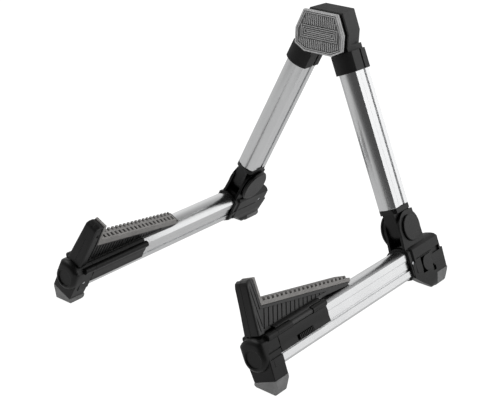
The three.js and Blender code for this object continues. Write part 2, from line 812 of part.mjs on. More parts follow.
// The thick front edge of the post, which widens towards the rail; side is 1 outside and -1 inside
function postEdge(topHalf, bottomHalf, side) {
  const radius = arm.postTop - arm.postShoulder;
  const rounding = arc(0, 0, 1, 0, Math.PI / 2, cornerSteps).map(([level, rise]) => [
    topHalf - post.topRound * (1 - level),
    arm.postTopFront + radius * (1 - level),
    arm.postTopFront + post.depth,
    arm.postShoulder + radius * rise,
  ]);
  const levels = [[bottomHalf, arm.front, arm.front + post.depth, armBottom], ...rounding];
  const corners = levels.flatMap(([half, front, rear, z]) => {
    const round = Math.min(post.edgeRound, rear - front);
    return softPlan(armSplit, half, front, rear + round, round)
      .filter(([, y]) => y <= rear)
      .concat([[half, rear], [armSplit, rear]])
      .map(([x, y]) => new THREE.Vector3(x * side, y, z));
  });
  return solid(new ConvexGeometry(corners));
}

// Upright grooves in the outer side of the post, between its front border and the seat's slanted grooves
function postGrooves() {
  const section = [
    [post.bottomOuter - post.grooveDepth, armBottom],
    [post.bottomOuter + overrun, armBottom],
    [post.topOuter + overrun, arm.postTop],
    [post.topOuter - post.grooveDepth, arm.postTop],
  ];
  const count = Math.floor((arm.postRear - arm.front) / post.groovePitch);
  const grooves = Array.from({ length: count }, (_, i) => {
    const y = arm.front + post.groovePitch * (i + 1);
    return solid(barAlong(section, y, y + post.groove));
  });
  const zone = solid(slabAcross(postZone(post.border), 0, railSpacing));
  return join(...grooves).intersect(zone);
}

// The arched top of the bare rail behind the saddle, which the arm's underside clears
function railTop() {
  return solid(barAlong(tubeOutline(fit), saddleRear, length));
}

function makeArmOuter() {
  const flat = solid(slabAcross(armOutline(0), armSplit, arm.half));
  const flangeIn = arm.half - overrun;
  const flange = barAlong(
    [
      [flangeIn, armBottom],
      [flangeIn, armBottom + outerPanel.margin],
      [arm.half + outerPanel.margin, armBottom + outerPanel.lip],
      [barrel.x - barrel.pinRadius, armBottom],
      [barrel.x - barrel.pinRadius, armBottom - fit * 2],
      [arm.half + outerPanel.margin, armBottom],
    ],
    saddleFront + barrelEnd,
    saddleRear - barrelEnd,
  );
  const knuckle = rodAlong(barrel.x, barrel.z, barrel.radius, knuckleFront, knuckleRear);
  const web = barAlong(
    [
      [barrel.x, barrel.z],
      [barrel.x, barrel.z + barrel.radius],
      [barrel.x - barrel.pinRadius, armBottom],
      [arm.half + outerPanel.margin, armBottom],
      [barrel.x - barrel.radius, barrel.z + barrel.pinRadius],
    ],
    knuckleFront,
    knuckleRear,
  );
  const pinHole = solid(
    rodAlong(barrel.x, barrel.z, barrel.pinRadius + fit, saddleFront, saddleRear),
  );
  const panel = cut(join(flat, ...[flange, knuckle, web].map(solid)), ...panelCuts(outerPanel, 1));
  const holes = armScrews.map(([y, z]) => screwHole(y, z, arm.half, -1, screw.long));
  const edge = postEdge(post.topOuter, post.bottomOuter, 1);
  return cut(join(panel, edge), postGrooves(), pinHole, railTop(), ...holes);
}

function makeArmInner() {
  const panel = cut(solid(slabAcross(armOutline(0), -arm.half, -armSplit)), ...panelCuts(innerPanel, -1));
  const holes = armScrews.map(([y, z]) => screwHole(y, z, arm.half, -1, screw.long));
  return cut(join(panel, postEdge(post.topInner, post.bottomInner, -1)), railTop(), ...holes);
}

function makeArmPad() {
  const { thickness, strip, half } = armPad;
  const rise = thickness * Math.hypot(1, seatSlope);
  const seatFront = [arm.postRear + fit, armSeat.cornerHeight + fit];
  const drop = (armSeat.tip - arm.postRear) * seatSlope;
  const tipBottom = [armSeat.tip, armSeat.cornerHeight + fit - drop];
  const stripTop = arm.postTop - fit;
  const topAt = (y) => seatFront[1] + rise - (y - seatFront[0]) * seatSlope;
  const stepY = armSeat.tip - armPad.step;
  const outline = [
    seatFront,
    tipBottom,
    [tipBottom[0] + armPad.lip * seatSlope, tipBottom[1] + armPad.lip],
    [stepY, topAt(stepY) - thickness + armPad.lip],
    [stepY, topAt(stepY)],
    [seatFront[0] + strip, seatFront[1] + rise - strip * seatSlope],
    [seatFront[0] + strip, stripTop],
    [seatFront[0], stripTop],
  ];
  const pad = solid(slabAcross(outline, -half, half));
  const run = stepY - seatFront[0] - strip;
  const pitch = run / armPad.notches;
  const notch = (i, x0, x1) => {
    const y = seatFront[0] + strip + pitch * (i + armPad.notchShare / 2);
    const z = topAt(y);
    return solid(box(x0, x1, y, y + pitch * armPad.notchShare, z - armPad.notchDepth, z + overrun));
  };
  const rows = Array.from({ length: armPad.notches }, (_, i) => [
    notch(i, half - armPad.notchWidth, half + overrun),
    notch(i, armPad.innerEdge - half, armPad.innerEdge + armPad.notchWidth - half),
  ]);
  return cut(pad, join(...rows.flat()));
}

// Head: the left leg's half is the front plate with the pad, the right leg's half is the block behind it

const headScrew = { z: 199.4 };
const plateFront = headPad.front + headPad.thickness + fit;
const plateRear = plateFront + headPlate.thickness;
const blockFront = plateRear + fit;
const blockRear = blockFront + headBlock.depth;

// The head's octagon as [x, z] points, drawn in by a margin
function headOutline(margin) {
  const right = [
    [head.bottomHalf - margin * headInset.bottom, headBottom + margin],
    [head.half - margin, headHip + margin * headInset.hip],
    [head.half - margin, headShoulder - margin * headInset.shoulder],
    [head.topHalf - margin * headInset.top, headTop - margin],
  ];
  return [...right, ...right.map(([x, z]) => [-x, z]).reverse()];
}

const slotY = upperAxisY + tube.grooveTop - collar.slotWidth;

// Collar on the upper tube's top end, in the leg's frame, as three.js geometry to place and join
function collarBody() {
  const outer = solid(columnUp(upperPlan(sleeveWall), collar.bottom, collar.top));
  const bore = solid(columnUp(upperPlan(fit), collar.bottom - overrun, collar.tubeEnd + fit));
  const side = tube.half + sleeveWall;
  const slot = (x0, x1) =>
    solid(box(x0, x1, slotY, slotY + collar.slotWidth, collar.bottom - overrun, collar.top + overrun));
  return cut(
    outer,
    bore,
    slot(side - collar.slotDepth, side + overrun),
    slot(-side - overrun, collar.slotDepth - side),
    screwHole(slotY + collar.slotWidth / 2, headScrew.z, side - collar.slotDepth, -1),
  );
}

// Narrows a bar's outer side towards its rear end
function narrowed(geometry, front, rear, taper) {
  const place = geometry.attributes.position;
  for (let i = 0; i < place.count; i++) {
    const share = (place.getY(i) - front) / (rear - front);
    if (place.getX(i) > 0) place.setX(i, place.getX(i) - taper * share);
  }
  return geometry;
}

// Moves a solid from the leg's frame to the floor's
function stood(made) {
  return made.transform(legPlace.elements);
}

const neckShares = { outer: 0.55, inner: 1 };

function headHalf(front, rear, margin, neckRise, taper) {
  const half = tube.half + sleeveWall;
  const neck = solid(
    box(
      -half * neckShares.inner,
      half * neckShares.outer,
      front,
      Math.min(rear, upperAxisY + tube.base + sleeveWall),
      collar.top - overrun,
      collar.top + neckRise,
    ),
  );
  const bar = barAlong(headOutline(margin), front, rear, headBlock.bevel);
  const plate = solid(narrowed(bar, front, rear, taper));
  const pinHole = solid(rodAlong(0, headPinHeight, headPin.radius + fit, front - overrun, rear + overrun));
  return cut(join(stood(join(collarBody(), neck)), plate), pinHole);
}

const neckRise = headPlate.inset * 2;

function makeHeadPad() {
  const base = solid(barAlong(headOutline(0), headPad.front + headPad.relief, plateFront - fit));
  const rimOuter = solid(barAlong(headOutline(0), headPad.front, plateFront - fit));
  const rimCut = barAlong(headOutline(headPad.rimWidth), headPad.front - overrun, headPad.front + headPad.relief);
  return join(base, cut(rimOuter, solid(rimCut)));
}

function makeHeadPin() {
  const from = plateFront + fit;
  const rear = blockRear + fit;
  const shaft = solid(rodAlong(0, headPinHeight, headPin.radius, from, rear + overrun / 2));
  const cover = rodAlong(0, headPinHeight, headPin.headRadius, rear, rear + headPin.headThickness, roundSteps);
  return join(shaft, solid(cover));
}

// Assembly

const materials = {};
for (const [name, look] of Object.entries(finishes)) {
  materials[name] = () => new THREE.MeshStandardMaterial(look);
}

function add(group, name, made, finish) {
  const { vertProperties, triVerts } = made.getMesh();
  const geometry = new THREE.BufferGeometry();
  geometry.setAttribute("position", new THREE.BufferAttribute(vertProperties, 3));
  geometry.setIndex(new THREE.BufferAttribute(triVerts, 1));
  geometry.computeVertexNormals();
  const mesh = new THREE.Mesh(geometry, materials[finish]());
  mesh.name = name;
  group.add(mesh);
}

function buildLeg(suffix) {
  const leg = new THREE.Group();
  leg.position.set(railSpacing / 2, 0, railHeight);
  leg.rotation.y = -legTilt;
  const railSide = tube.half + sleeveWall;
  const housingSide = tube.half + housing.wall;
  const pieces = [
    ["lower_rail", makeLowerRail(), "aluminium"],
    ["upper_tube", makeUpperTube(), "aluminium"],
    ["front_cap", makeFrontCap(), "blackPlastic"],
    ["front_foot", makeFrontFoot(), "greyRubber"],
    ["front_screw", screwBody(capScrew.y, capScrew.z, railSide, -1), "steel"],
    ["rear_housing", makeRearHousing(), "blackPlastic"],
    ["rear_foot", makeRearFoot(), "greyRubber"],
    ["rear_screw_outer", screwBody(rearScrewOuter.y, rearScrewOuter.z, housingSide, 1), "steel"],
    ["rear_screw_inner", screwBody(rearScrewInner.y, rearScrewInner.z, housingSide, -1), "steel"],
    ["lock_button", makeLockButton(), "blackPlastic"],
    ["hinge_socket", makeHingeSocket(), "blackPlastic"],
    ["hinge_pin", makeHingePin(), "steel"],
    ["hinge_cap_outer", makeHingeCap(1), "blackPlastic"],
    ["hinge_cap_inner", makeHingeCap(-1), "blackPlastic"],
    ["saddle", makeSaddle(), "blackPlastic"],
    ["saddle_latch", makeSaddleLatch(), "blackPlastic"],
    ["arm_pin", makeArmPin(), "steel"],
    ["arm_outer_shell", makeArmOuter(), "blackPlastic"],
    ["arm_inner_shell", makeArmInner(), "blackPlastic"],
    ["arm_pad", makeArmPad(), "armRubber"],
    ...armScrews.map(([y, z], i) => [`arm_screw_${i + 1}`, screwBody(y, z, arm.half, -1, screw.long), "steel"]),
    [
      "collar_screw",
      screwBody(slotY + collar.slotWidth / 2, headScrew.z, railSide - collar.slotDepth, -1),
      "steel",
    ],
  ];
  for (const [name, made, finish] of pieces) add(leg, `${name}_${suffix}`, made, finish);
  return leg;
}

const stand = new THREE.Group();
stand.name = "guitar_stand";
const rightSide = new THREE.Group();
const leftSide = new THREE.Group();
rightSide.add(buildLeg("right"));
leftSide.add(buildLeg("left"));
add(rightSide, "head_block", headHalf(blockFront, blockRear, 0, neckRise, headBlock.taper), "blackPlastic");
add(leftSide, "head_plate", headHalf(plateFront, plateRear, headPlate.inset, neckRise * 2, 0), "blackPlastic");
add(leftSide, "head_pad", makeHeadPad(), "greyRubber");
add(leftSide, "head_pin", makeHeadPin(), "steel");
leftSide.scale.x = -1;
stand.add(rightSide, leftSide);
rightSide.position.y = -length / 2;
leftSide.position.y = -length / 2;

export default stand;
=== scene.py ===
# Folding A-frame guitar stand, dressed for its looks: satin aluminium, black mouldings, grey rubber.
# Metres, +Z up, front towards -Y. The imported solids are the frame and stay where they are.
import json
import math
import bpy
import numpy as np
from mathutils import Matrix, Vector


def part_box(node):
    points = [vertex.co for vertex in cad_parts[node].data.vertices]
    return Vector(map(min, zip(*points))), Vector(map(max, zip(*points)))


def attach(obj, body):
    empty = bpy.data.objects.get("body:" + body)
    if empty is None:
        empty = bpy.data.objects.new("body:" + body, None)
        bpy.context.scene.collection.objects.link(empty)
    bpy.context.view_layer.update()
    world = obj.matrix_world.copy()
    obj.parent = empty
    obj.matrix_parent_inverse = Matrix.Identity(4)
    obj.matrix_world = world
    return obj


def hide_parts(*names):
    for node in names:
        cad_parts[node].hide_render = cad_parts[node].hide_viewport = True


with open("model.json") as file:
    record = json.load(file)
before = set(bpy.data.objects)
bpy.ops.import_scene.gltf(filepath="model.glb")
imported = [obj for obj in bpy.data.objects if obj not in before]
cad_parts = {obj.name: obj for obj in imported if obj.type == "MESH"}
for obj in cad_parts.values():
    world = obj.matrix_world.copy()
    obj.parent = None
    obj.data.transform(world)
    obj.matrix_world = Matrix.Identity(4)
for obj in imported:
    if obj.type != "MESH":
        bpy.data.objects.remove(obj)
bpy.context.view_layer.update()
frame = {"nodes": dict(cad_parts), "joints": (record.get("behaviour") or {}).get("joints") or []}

MM = 0.001
nodes = frame["nodes"]


# Camera: a long lens from the right front, looking down a little, with a slight roll as in the picture.
yaw = math.radians(36.93)
pitch = math.radians(22.59)
roll = math.radians(2.36)
camera_place = Vector((557.8, -755.5, 483.7)) * MM
ahead = Vector((-math.sin(yaw) * math.cos(pitch), math.cos(yaw) * math.cos(pitch), -math.sin(pitch)))
level_right = Vector((math.cos(yaw), math.sin(yaw), 0))
level_up = level_right.cross(ahead)
camera_right = level_right * math.cos(roll) + level_up * math.sin(roll)
camera_up = level_up * math.cos(roll) - level_right * math.sin(roll)
camera_data = bpy.data.cameras.new("camera")
camera_data.sensor_width = 36
camera_data.lens = 79.15
camera_data.clip_start = 0.05
camera_data.clip_end = 50
camera = bpy.data.objects.new("camera", camera_data)
turn = Matrix((camera_right, camera_up, -ahead)).transposed()
camera.matrix_world = Matrix.Translation(camera_place) @ turn.to_4x4()
bpy.context.scene.collection.objects.link(camera)
bpy.context.scene.camera = camera
bpy.context.scene.view_settings.view_transform = "Standard"


# Shader maths: a Wire is a value that varies over a surface, and a Finish is a material being made.
class Wire:
    def __init__(self, finish, socket):
        self.finish = finish
        self.socket = socket

    def _with(self, operation, first, second):
        return self.finish.node("ShaderNodeMath", {"operation": operation}, {0: first, 1: second})

    def __add__(self, other):
        return self._with("ADD", self, other)

    def __sub__(self, other):
        return self._with("SUBTRACT", self, other)

    def __rsub__(self, other):
        return self._with("SUBTRACT", other, self)

    def __mul__(self, other):
        return self._with("MULTIPLY", self, other)

    __radd__ = __add__
    __rmul__ = __mul__

    def ramp(self, low, high):
        """0 below low and 1 above high, eased between them; high may be the smaller one."""
        places = {"Value": self, "From Min": low, "From Max": high}
        return self.finish.node("ShaderNodeMapRange", {"interpolation_type": "SMOOTHSTEP"}, places)


class Finish:
    def __init__(self, owner):
        owner.use_nodes = True
        self.owner = owner
        self.tree = owner.node_tree
        self.tree.nodes.clear()

    def node(self, kind, settings=None, inputs=None, output=0):
        made = self.tree.nodes.new(kind)
        for key, value in (settings or {}).items():
            setattr(made, key, value)
        for key, value in (inputs or {}).items():
            if isinstance(value, Wire):
                self.tree.links.new(value.socket, made.inputs[key])
            else:
                made.inputs[key].default_value = value
        return Wire(self, made.outputs[output]) if made.outputs else made

    def place(self):
        return self.node("ShaderNodeTexCoord", output="Object")

    def along(self, direction, what=None):
        """A vector's reach along a direction: by default the place's, in metres from the origin."""
        dot = {"operation": "DOT_PRODUCT"}
        return self.node("ShaderNodeVectorMath", dot, {0: what or self.place(), 1: direction}, "Value")

    def facing(self, direction):
        """1 where the surface faces along a direction or against it, 0 where it lies along it."""
        share = self.along(direction, self.node("ShaderNodeTexCoord", output="Normal"))
        return (share * share).ramp(0.3, 0.5)

    def noise(self, scale, detail=2.0, rough=0.5, at=None):
        settings = {"Vector": at or self.place(), "Scale": scale, "Detail": detail, "Roughness": rough}
        return self.node("ShaderNodeTexNoise", None, settings)

    def blend(self, share, first, second):
        return self.node("ShaderNodeMix", {"data_type": "RGBA"}, {0: share, 6: first, 7: second}, 2)

    def edge_round(self, radius):
        return self.node("ShaderNodeBevel", {"samples": 6}, {"Radius": radius})

    def bump(self, height, distance, strength, normal):
        inputs = {"Height": height, "Distance": distance, "Strength": strength, "Normal": normal}
        return self.node("ShaderNodeBump", None, inputs)

    def surface(self, **inputs):
        names = {key: key.replace("_", " ") for key in inputs}
        skin = self.node("ShaderNodeBsdfPrincipled", None, {names[k]: v for k, v in inputs.items()})
        self.node("ShaderNodeOutputMaterial", None, {"Surface": skin})
        return self.owner


def grey(level, warm=0.0):
    """A near-neutral colour from its screen level, 0 to 255."""
    shown = [level + warm, level, level - warm]
    return tuple(((v / 255 + 0.055) / 1.055) ** 2.4 for v in shown) + (1.0,)


# Set: a pale floor and a white surround that is plain to the camera and graded in reflections,
# with soft lamps high on the left, on the right, in front and above. The last two stay out of the gloss.
white = (1, 1, 1, 1)
surround = Finish(bpy.data.worlds.new("studio"))
bpy.context.scene.world = surround.owner
direction = surround.node("ShaderNodeTexCoord", output="Generated")


def towards(x, y, z):
    return surround.along(Vector((x, y, z)).normalized(), direction)


glow_right = towards(0.66, 0.74, 0.1).ramp(0.7, 0.95)
glow_back = towards(-0.45, 0.9, 0.0).ramp(0.25, 0.95)
glow_left = towards(-0.95, -0.1, 0.3).ramp(0.3, 0.95)
glow = glow_right * 0.9 + glow_back * 0.5 + glow_left * 0.35 + 0.07
studio = surround.node("ShaderNodeBackground", None, {"Color": glow})
plain_white = surround.node("ShaderNodeBackground", None, {"Color": white})
seen = surround.node("ShaderNodeLightPath", output="Is Camera Ray")
shown_world = surround.node("ShaderNodeMixShader", None, {0: seen, 1: studio, 2: plain_white})
surround.node("ShaderNodeOutputWorld", None, {"Surface": shown_world})


stand_middle = Vector((0, 0, 0.1))


def lamp(name, place, size, radiance, shows_in_gloss=True):
    """A rectangular lamp, aimed at the middle of the stand."""
    data = bpy.data.lights.new(name, "AREA")
    data.shape = "RECTANGLE"
    data.size, data.size_y = size
    data.energy = radiance * math.pi * size[0] * size[1]
    made = bpy.data.objects.new(name, data)
    made.location = place
    aim = stand_middle - Vector(place)
    made.rotation_mode = "QUATERNION"
    made.rotation_quaternion = aim.to_track_quat("-Z", "Y")
    made.visible_camera = False
    made.visible_glossy = shows_in_gloss
    bpy.context.scene.collection.objects.link(made)


lamp("lamp_high_left", place=(-1.2, -0.5, 1.9), size=(1.5, 1.1), radiance=1.9)
lamp("lamp_right", place=(2.0, 0.3, 1.2), size=(1.3, 1.0), radiance=2.2)
lamp("lamp_front", place=(0.9, -2.4, 1.3), size=(2.6, 1.9), radiance=1.4, shows_in_gloss=False)
lamp("lamp_above", place=(0.2, 0.6, 2.4), size=(2.2, 2.2), radiance=0.9, shows_in_gloss=False)

floor_finish = Finish(bpy.data.materials.new("pale_floor"))
floor_lit = floor_finish.node("ShaderNodeBsdfDiffuse", None, {"Color": (0.9, 0.9, 0.9, 1)})
camera_ray = floor_finish.node("ShaderNodeLightPath", output="Is Camera Ray")
glossy_ray = floor_finish.node("ShaderNodeLightPath", output="Is Glossy Ray")
front_near, front_far = 0.28, 0.8
far_front = floor_finish.along((0.25, -0.97, 0)).ramp(front_near, front_far)
floor_seen = 1.2 - glossy_ray * (far_front * 0.5 + 0.66)
floor_glow = floor_finish.node("ShaderNodeEmission", None, {"Color": floor_seen, "Strength": 1})
glow_share = camera_ray * 0.84 + glossy_ray * 0.9
floor_shown = floor_finish.node("ShaderNodeMixShader", None, {0: glow_share, 1: floor_lit, 2: floor_glow})
floor_finish.node("ShaderNodeOutputMaterial", None, {"Surface": floor_shown})
floor_half = 6.0
floor_drop = 0.1 * MM
floor_mesh = bpy.data.meshes.new("floor")
corners = [(x * floor_half, y * floor_half, -floor_drop) for x, y in ((-1, -1), (1, -1), (1, 1), (-1, 1))]
floor_mesh.from_pydata(corners, [], [(0, 1, 2, 3)])
floor = bpy.data.objects.new("floor", floor_mesh)
floor_mesh.materials.append(floor_finish.owner)
bpy.context.scene.collection.objects.link(floor)


# Every solid comes in with flat faces: one modifier joins its seams and shades gentle turns smoothly,
# as the rounded faces of the extrusions and mouldings are.
gentle_turn = math.radians(31)
seam_gap = 0.01 * MM
smoothing = bpy.data.node_groups.new("smooth_gentle_turns", "GeometryNodeTree")
smoothing.interface.new_socket("Geometry", in_out="INPUT", socket_type="NodeSocketGeometry")
smoothing.interface.new_socket("Geometry", in_out="OUTPUT", socket_type="NodeSocketGeometry")


def step(kind, **settings):
    made = smoothing.nodes.new(kind)
    for key, value in settings.items():
        setattr(made, key, value)
    return made


came = step("NodeGroupInput")
joined = step("GeometryNodeMergeByDistance")
joined.inputs["Distance"].default_value = seam_gap
angle = step("GeometryNodeInputMeshEdgeAngle")
gentle = step("FunctionNodeCompare", data_type="FLOAT", operation="LESS_THAN")
gentle.inputs[1].default_value = gentle_turn
faces = step("GeometryNodeSetShadeSmooth", domain="FACE")
edges = step("GeometryNodeSetShadeSmooth", domain="EDGE")
gone = step("NodeGroupOutput")
chain = smoothing.links.new
chain(came.outputs[0], joined.inputs["Geometry"])
chain(joined.outputs[0], faces.inputs["Geometry"])
chain(faces.outputs[0], edges.inputs["Geometry"])
chain(angle.outputs["Unsigned Angle"], gentle.inputs[0])
chain(gentle.outputs[0], edges.inputs["Shade Smooth"])
chain(edges.outputs[0], gone.inputs[0])


def dress(node_name, material):
    """Gives a solid its finish and its smooth turns."""
    solid = nodes[node_name]
    solid.data.materials.clear()
    solid.data.materials.append(material)
    made = solid.modifiers.new("smooth_gentle_turns", "NODES")
    made.node_group = smoothing


# Tubes: arched aluminium extrusions, satin anodised, with die lines that run along their length
# and a faint handling haze. The lower rails run back to front, the upper tubes lean up to the head.
sides = {"right": 1, "left": -1}
joint_axes = {joint["name"]: Vector(joint["axis"]) for joint in frame["joints"]}
back = Vector((0, 1, 0))


def leg_axes(side):
    """Outward, back and up directions of one leg's own frame: its lock button is pressed inwards."""
    outward = -joint_axes[f"lock_press_{side}"]
    return outward, back, outward.cross(back) * sides[side]


def tube_finish(name, side, lengthwise):
    """The finish of one tube, whose length runs along the leg's axis of that number."""
    finish = Finish(bpy.data.materials.new(name))
    across, along_line = 2600, 14
    edge_radius, line_depth = 0.6 * MM, 0.02 * MM
    scales = [along_line if i == lengthwise else across for i in range(3)]
    stretched = [finish.along(axis) * scale for axis, scale in zip(leg_axes(side), scales)]
    lines_at = finish.node("ShaderNodeCombineXYZ", None, dict(enumerate(stretched)))
    die_lines = finish.noise(1.0, detail=3.0, rough=0.6, at=lines_at)
    haze = finish.noise(38.0, detail=4.0, rough=0.6)
    specks = finish.noise(900.0).ramp(0.68, 0.78)
    base = finish.blend(haze.ramp(0.3, 0.75), (0.86, 0.865, 0.87, 1), (0.83, 0.835, 0.842, 1))
    normal = finish.bump(die_lines, line_depth, 0.12, finish.edge_round(edge_radius))
    roughness = die_lines * 0.06 + haze * 0.04 + specks * 0.03 + 0.2
    return finish.surface(Base_Color=base, Metallic=1.0, Roughness=roughness, Normal=normal)


for side in sides:
    dress(f"lower_rail_{side}", tube_finish(f"satin_rail_{side}", side, lengthwise=1))
    dress(f"upper_tube_{side}", tube_finish(f"satin_upper_tube_{side}", side, lengthwise=2))


# Mouldings: glass-filled nylon, injection moulded in black with a fine spark-eroded grain. Rubbed
# places are smoother and scuffs paler. Faces of the arms' grooved panels and of the head's ends that turn
# sideways are painted paler, a painted sheen as if lit from the side.
def moulding_finish(name, level, roughness, grain, gloss, painted_sheen_side=None):
    finish = Finish(bpy.data.materials.new(name))
    edge_radius, grain_depth = 0.5 * MM, 0.06 * MM
    fine = finish.noise(grain, detail=3.0, rough=0.65)
    cloud = finish.noise(60.0, detail=4.0, rough=0.55)
    rubbed = finish.noise(170.0, detail=5.0, rough=0.7).ramp(0.5, 0.75)
    scuffs = finish.noise(420.0, detail=6.0, rough=0.75).ramp(0.67, 0.72)
    base = finish.blend(cloud.ramp(0.35, 0.7), grey(level), grey(level * 1.18))
    base = finish.blend(scuffs * 0.5, base, grey(level * 1.8))
    # Painted sheen: faces turned along the given side are painted paler, as if lit.
    if painted_sheen_side is not None:
        base = finish.blend(finish.facing(painted_sheen_side) * 0.8, base, grey(level * 4))
    skin = cloud * 0.1 + fine * 0.12 - rubbed * 0.07 + (roughness - 0.1)
    normal = finish.bump(fine, grain_depth, 0.3, finish.edge_round(edge_radius))
    return finish.surface(Base_Color=base, Roughness=skin, Normal=normal, Specular_IOR_Level=gloss)


body_look = {"level": 8, "roughness": 0.36, "grain": 2400.0, "gloss": 0.35}
cap_look = {"level": 8, "roughness": 0.3, "grain": 2800.0, "gloss": 0.36}
arm_look = {"level": 14, "roughness": 0.4, "grain": 2100.0, "gloss": 0.46}
# The head's ends, facing along X, get a painted sheen.
head_look = {"level": 12, "roughness": 0.58, "grain": 2100.0, "gloss": 0.46, "painted_sheen_side": (1, 0, 0)}
black_body = moulding_finish("black_moulding", **body_look)
black_cap = moulding_finish("black_cap_moulding", **cap_look)
black_arm = moulding_finish("black_arm_moulding", **arm_look)
black_head = moulding_finish("black_head_moulding", **head_look)
body_pieces = ["front_cap", "rear_housing", "hinge_socket", "saddle"]
cap_pieces = ["hinge_cap_outer", "hinge_cap_inner", "lock_button", "saddle_latch"]
for side in sides:
    for pieces, finish in ((body_pieces, black_body), (cap_pieces, black_cap)):
        for piece in pieces:
            dress(f"{piece}_{side}", finish)
    outward = leg_axes(side)[0]
    # The arm's grooved outer panel gets a painted sheen on its sideways faces.
    grooved_panel = moulding_finish(f"arm_panel_moulding_{side}", **arm_look, painted_sheen_side=outward)
    dress(f"arm_outer_shell_{side}", grooved_panel)
    dress(f"arm_inner_shell_{side}", black_arm)
dress("head_block", black_head)
dress("head_plate", black_head)


# Feet: blocks of grey thermoplastic rubber pushed into the end mouldings, matt, with a soft bloom,
# and darker on the lowest few millimetres.
def rubber_finish(name, level, warm=0, darker_bottom_height=None, hollow_shade=None):
    finish = Finish(bpy.data.materials.new(name))
    edge_radius, grain_depth = 0.6 * MM, 0.08 * MM
    grain = finish.noise(1900.0, detail=4.0, rough=0.7)
    bloom = finish.noise(85.0, detail=4.0, rough=0.6)
    base = finish.blend(bloom.ramp(0.3, 0.75), grey(level, warm), grey(level * 1.09, warm))
    # Darker towards the bottom, over the given height above the floor.
    if darker_bottom_height:
        low = finish.along((0, 0, 1)).ramp(darker_bottom_height, 0.0)
        base = finish.blend(low * 0.55, base, grey(level * 0.6, warm))
    # Painted shade: the hollows that the given mask marks are painted darker.
    if hollow_shade:
        base = finish.blend(hollow_shade(finish) * 0.8, base, grey(level * 0.4, warm))
    normal = finish.bump(grain, grain_depth, 0.35, finish.edge_round(edge_radius))
    roughness = bloom * 0.14 + grain * 0.1 + 0.58
    return finish.surface(Base_Color=base, Roughness=roughness, Normal=normal, Specular_IOR_Level=0.35)


foot_rubber = rubber_finish("grey_foot_rubber", level=122, darker_bottom_height=3.5 * MM)
for side in sides:
    dress(f"front_foot_{side}", foot_rubber)
    dress(f"rear_foot_{side}", foot_rubber)


# Arm pads: slightly warmer rubber glued on the seats, with two rows of moulded notches whose
# bottoms carry painted shade. The seat falls from its corner at the post to its tip.
seat_corner, seat_corner_height = 21.4 * MM, 38.2 * MM
seat_tip, seat_tip_height = 141.2 * MM, 16.2 * MM
seat_slope = (seat_corner_height - seat_tip_height) / (seat_tip - seat_corner)
seat_start = -115 * MM
post_fade = 4 * MM
notch_shade_top, notch_shade_full = 0.7 * MM, 2.2 * MM


def notch_painted_shade(side):
    outward, back, up = leg_axes(side)
    above = up + back * seat_slope
    places = np.array([v.co for v in nodes[f"arm_pad_{side}"].data.vertices])
    top = (places[places[:, 1] > seat_start] @ np.array(above)).max()

    # Painted shade: notch bottoms darker the deeper they lie below the seat's top, fading out towards the
    # post and on outward faces.
    def hollow_shade(finish):
        depth = finish.along(above).ramp(top - notch_shade_top, top - notch_shade_full)
        behind_post = finish.along(back).ramp(seat_start - post_fade, seat_start)
        return depth * behind_post * (1 - finish.facing(outward))

    return hollow_shade


for side in sides:
    pad_rubber = rubber_finish(f"arm_pad_rubber_{side}", level=138, warm=2, hollow_shade=notch_painted_shade(side))
    dress(f"arm_pad_{side}", pad_rubber)


# Pins: turned steel, zinc plated, with a fine grain left by the lathe and a slight stain.
def steel_finish(name, bright, stained):
    finish = Finish(bpy.data.materials.new(name))
    edge_radius, grain_depth = 0.3 * MM, 0.03 * MM
    turned = finish.noise(1500.0, detail=3.0, rough=0.6)
    stain = finish.noise(140.0, detail=4.0, rough=0.6)
    base = finish.blend(stain.ramp(0.3, 0.8), bright, stained)
    normal = finish.bump(turned, grain_depth, 0.25, finish.edge_round(edge_radius))
    skin = stain * 0.2 + turned * 0.08 + 0.16
    return finish.surface(Base_Color=base, Metallic=1.0, Roughness=skin, Normal=normal)


plated_steel = steel_finish("plated_steel", (0.72, 0.73, 0.75, 1), (0.58, 0.59, 0.61, 1))
blackened_steel = steel_finish("blackened_steel", (0.035, 0.035, 0.037, 1), (0.06, 0.058, 0.055, 1))
for side in sides:
    dress(f"hinge_pin_{side}", plated_steel)
    dress(f"arm_pin_{side}", plated_steel)
dress("head_pin", plated_steel)


# Screws: small pan heads with a cross recess, each sunk in its round counterbore. Those of the rails
# and collars are plated, those of the arms are blackened.
# A head is a domed disc pressed in along a cross, set on the outer end of its solid screw.
def screw_head_mesh(name, radius, finish):
    rings, spokes = 16, 64
    dome, wall, sink = radius * 0.26, radius * 0.35, radius * 0.42
    slot_mouth, slot_slope, reach = radius * 0.1755, radius * 0.065, radius * 0.62
    points = [(0, 0, dome - sink)]
    for ring in range(1, rings + 1):
        r = radius * ring / rings
        for spoke in range(spokes):
            turn = 2 * math.pi * spoke / spokes
            u, v = r * math.cos(turn), r * math.sin(turn)
            height = dome * (1 - (r / radius) ** 2) ** 0.5 if ring < rings else 0
            from_arm = min(abs(u), abs(v))
            in_slot = min(1, max(0, (slot_mouth - from_arm) / slot_slope)) if r < reach else 0
            points.append((u, v, height - sink * in_slot * (1 - r / reach * 0.5)))
    for spoke in range(spokes):
        turn = 2 * math.pi * spoke / spokes
        points.append((radius * math.cos(turn), radius * math.sin(turn), -wall))
    faces = [(0, 1 + s, 1 + (s + 1) % spokes) for s in range(spokes)]
    for ring in range(rings):
        start, following = 1 + ring * spokes, 1 + (ring + 1) * spokes
        for s in range(spokes):
            t = (s + 1) % spokes
            faces.append((start + s, following + s, following + t, start + t))
    last = 1 + rings * spokes
    faces.append(tuple(last + s for s in reversed(range(spokes))))
    mesh = bpy.data.meshes.new(name)
    mesh.from_pydata(points, [], faces)
    mesh.shade_smooth()
    mesh.materials.append(finish)
    return mesh


def end_middle(node_name, outward):
    """Middle of the end face that a solid screw turns outward."""
    places = np.array([v.co for v in nodes[node_name].data.vertices])
    depth = places @ np.array(outward)
    return Vector(places[depth > depth.max() - seam_gap].mean(axis=0))


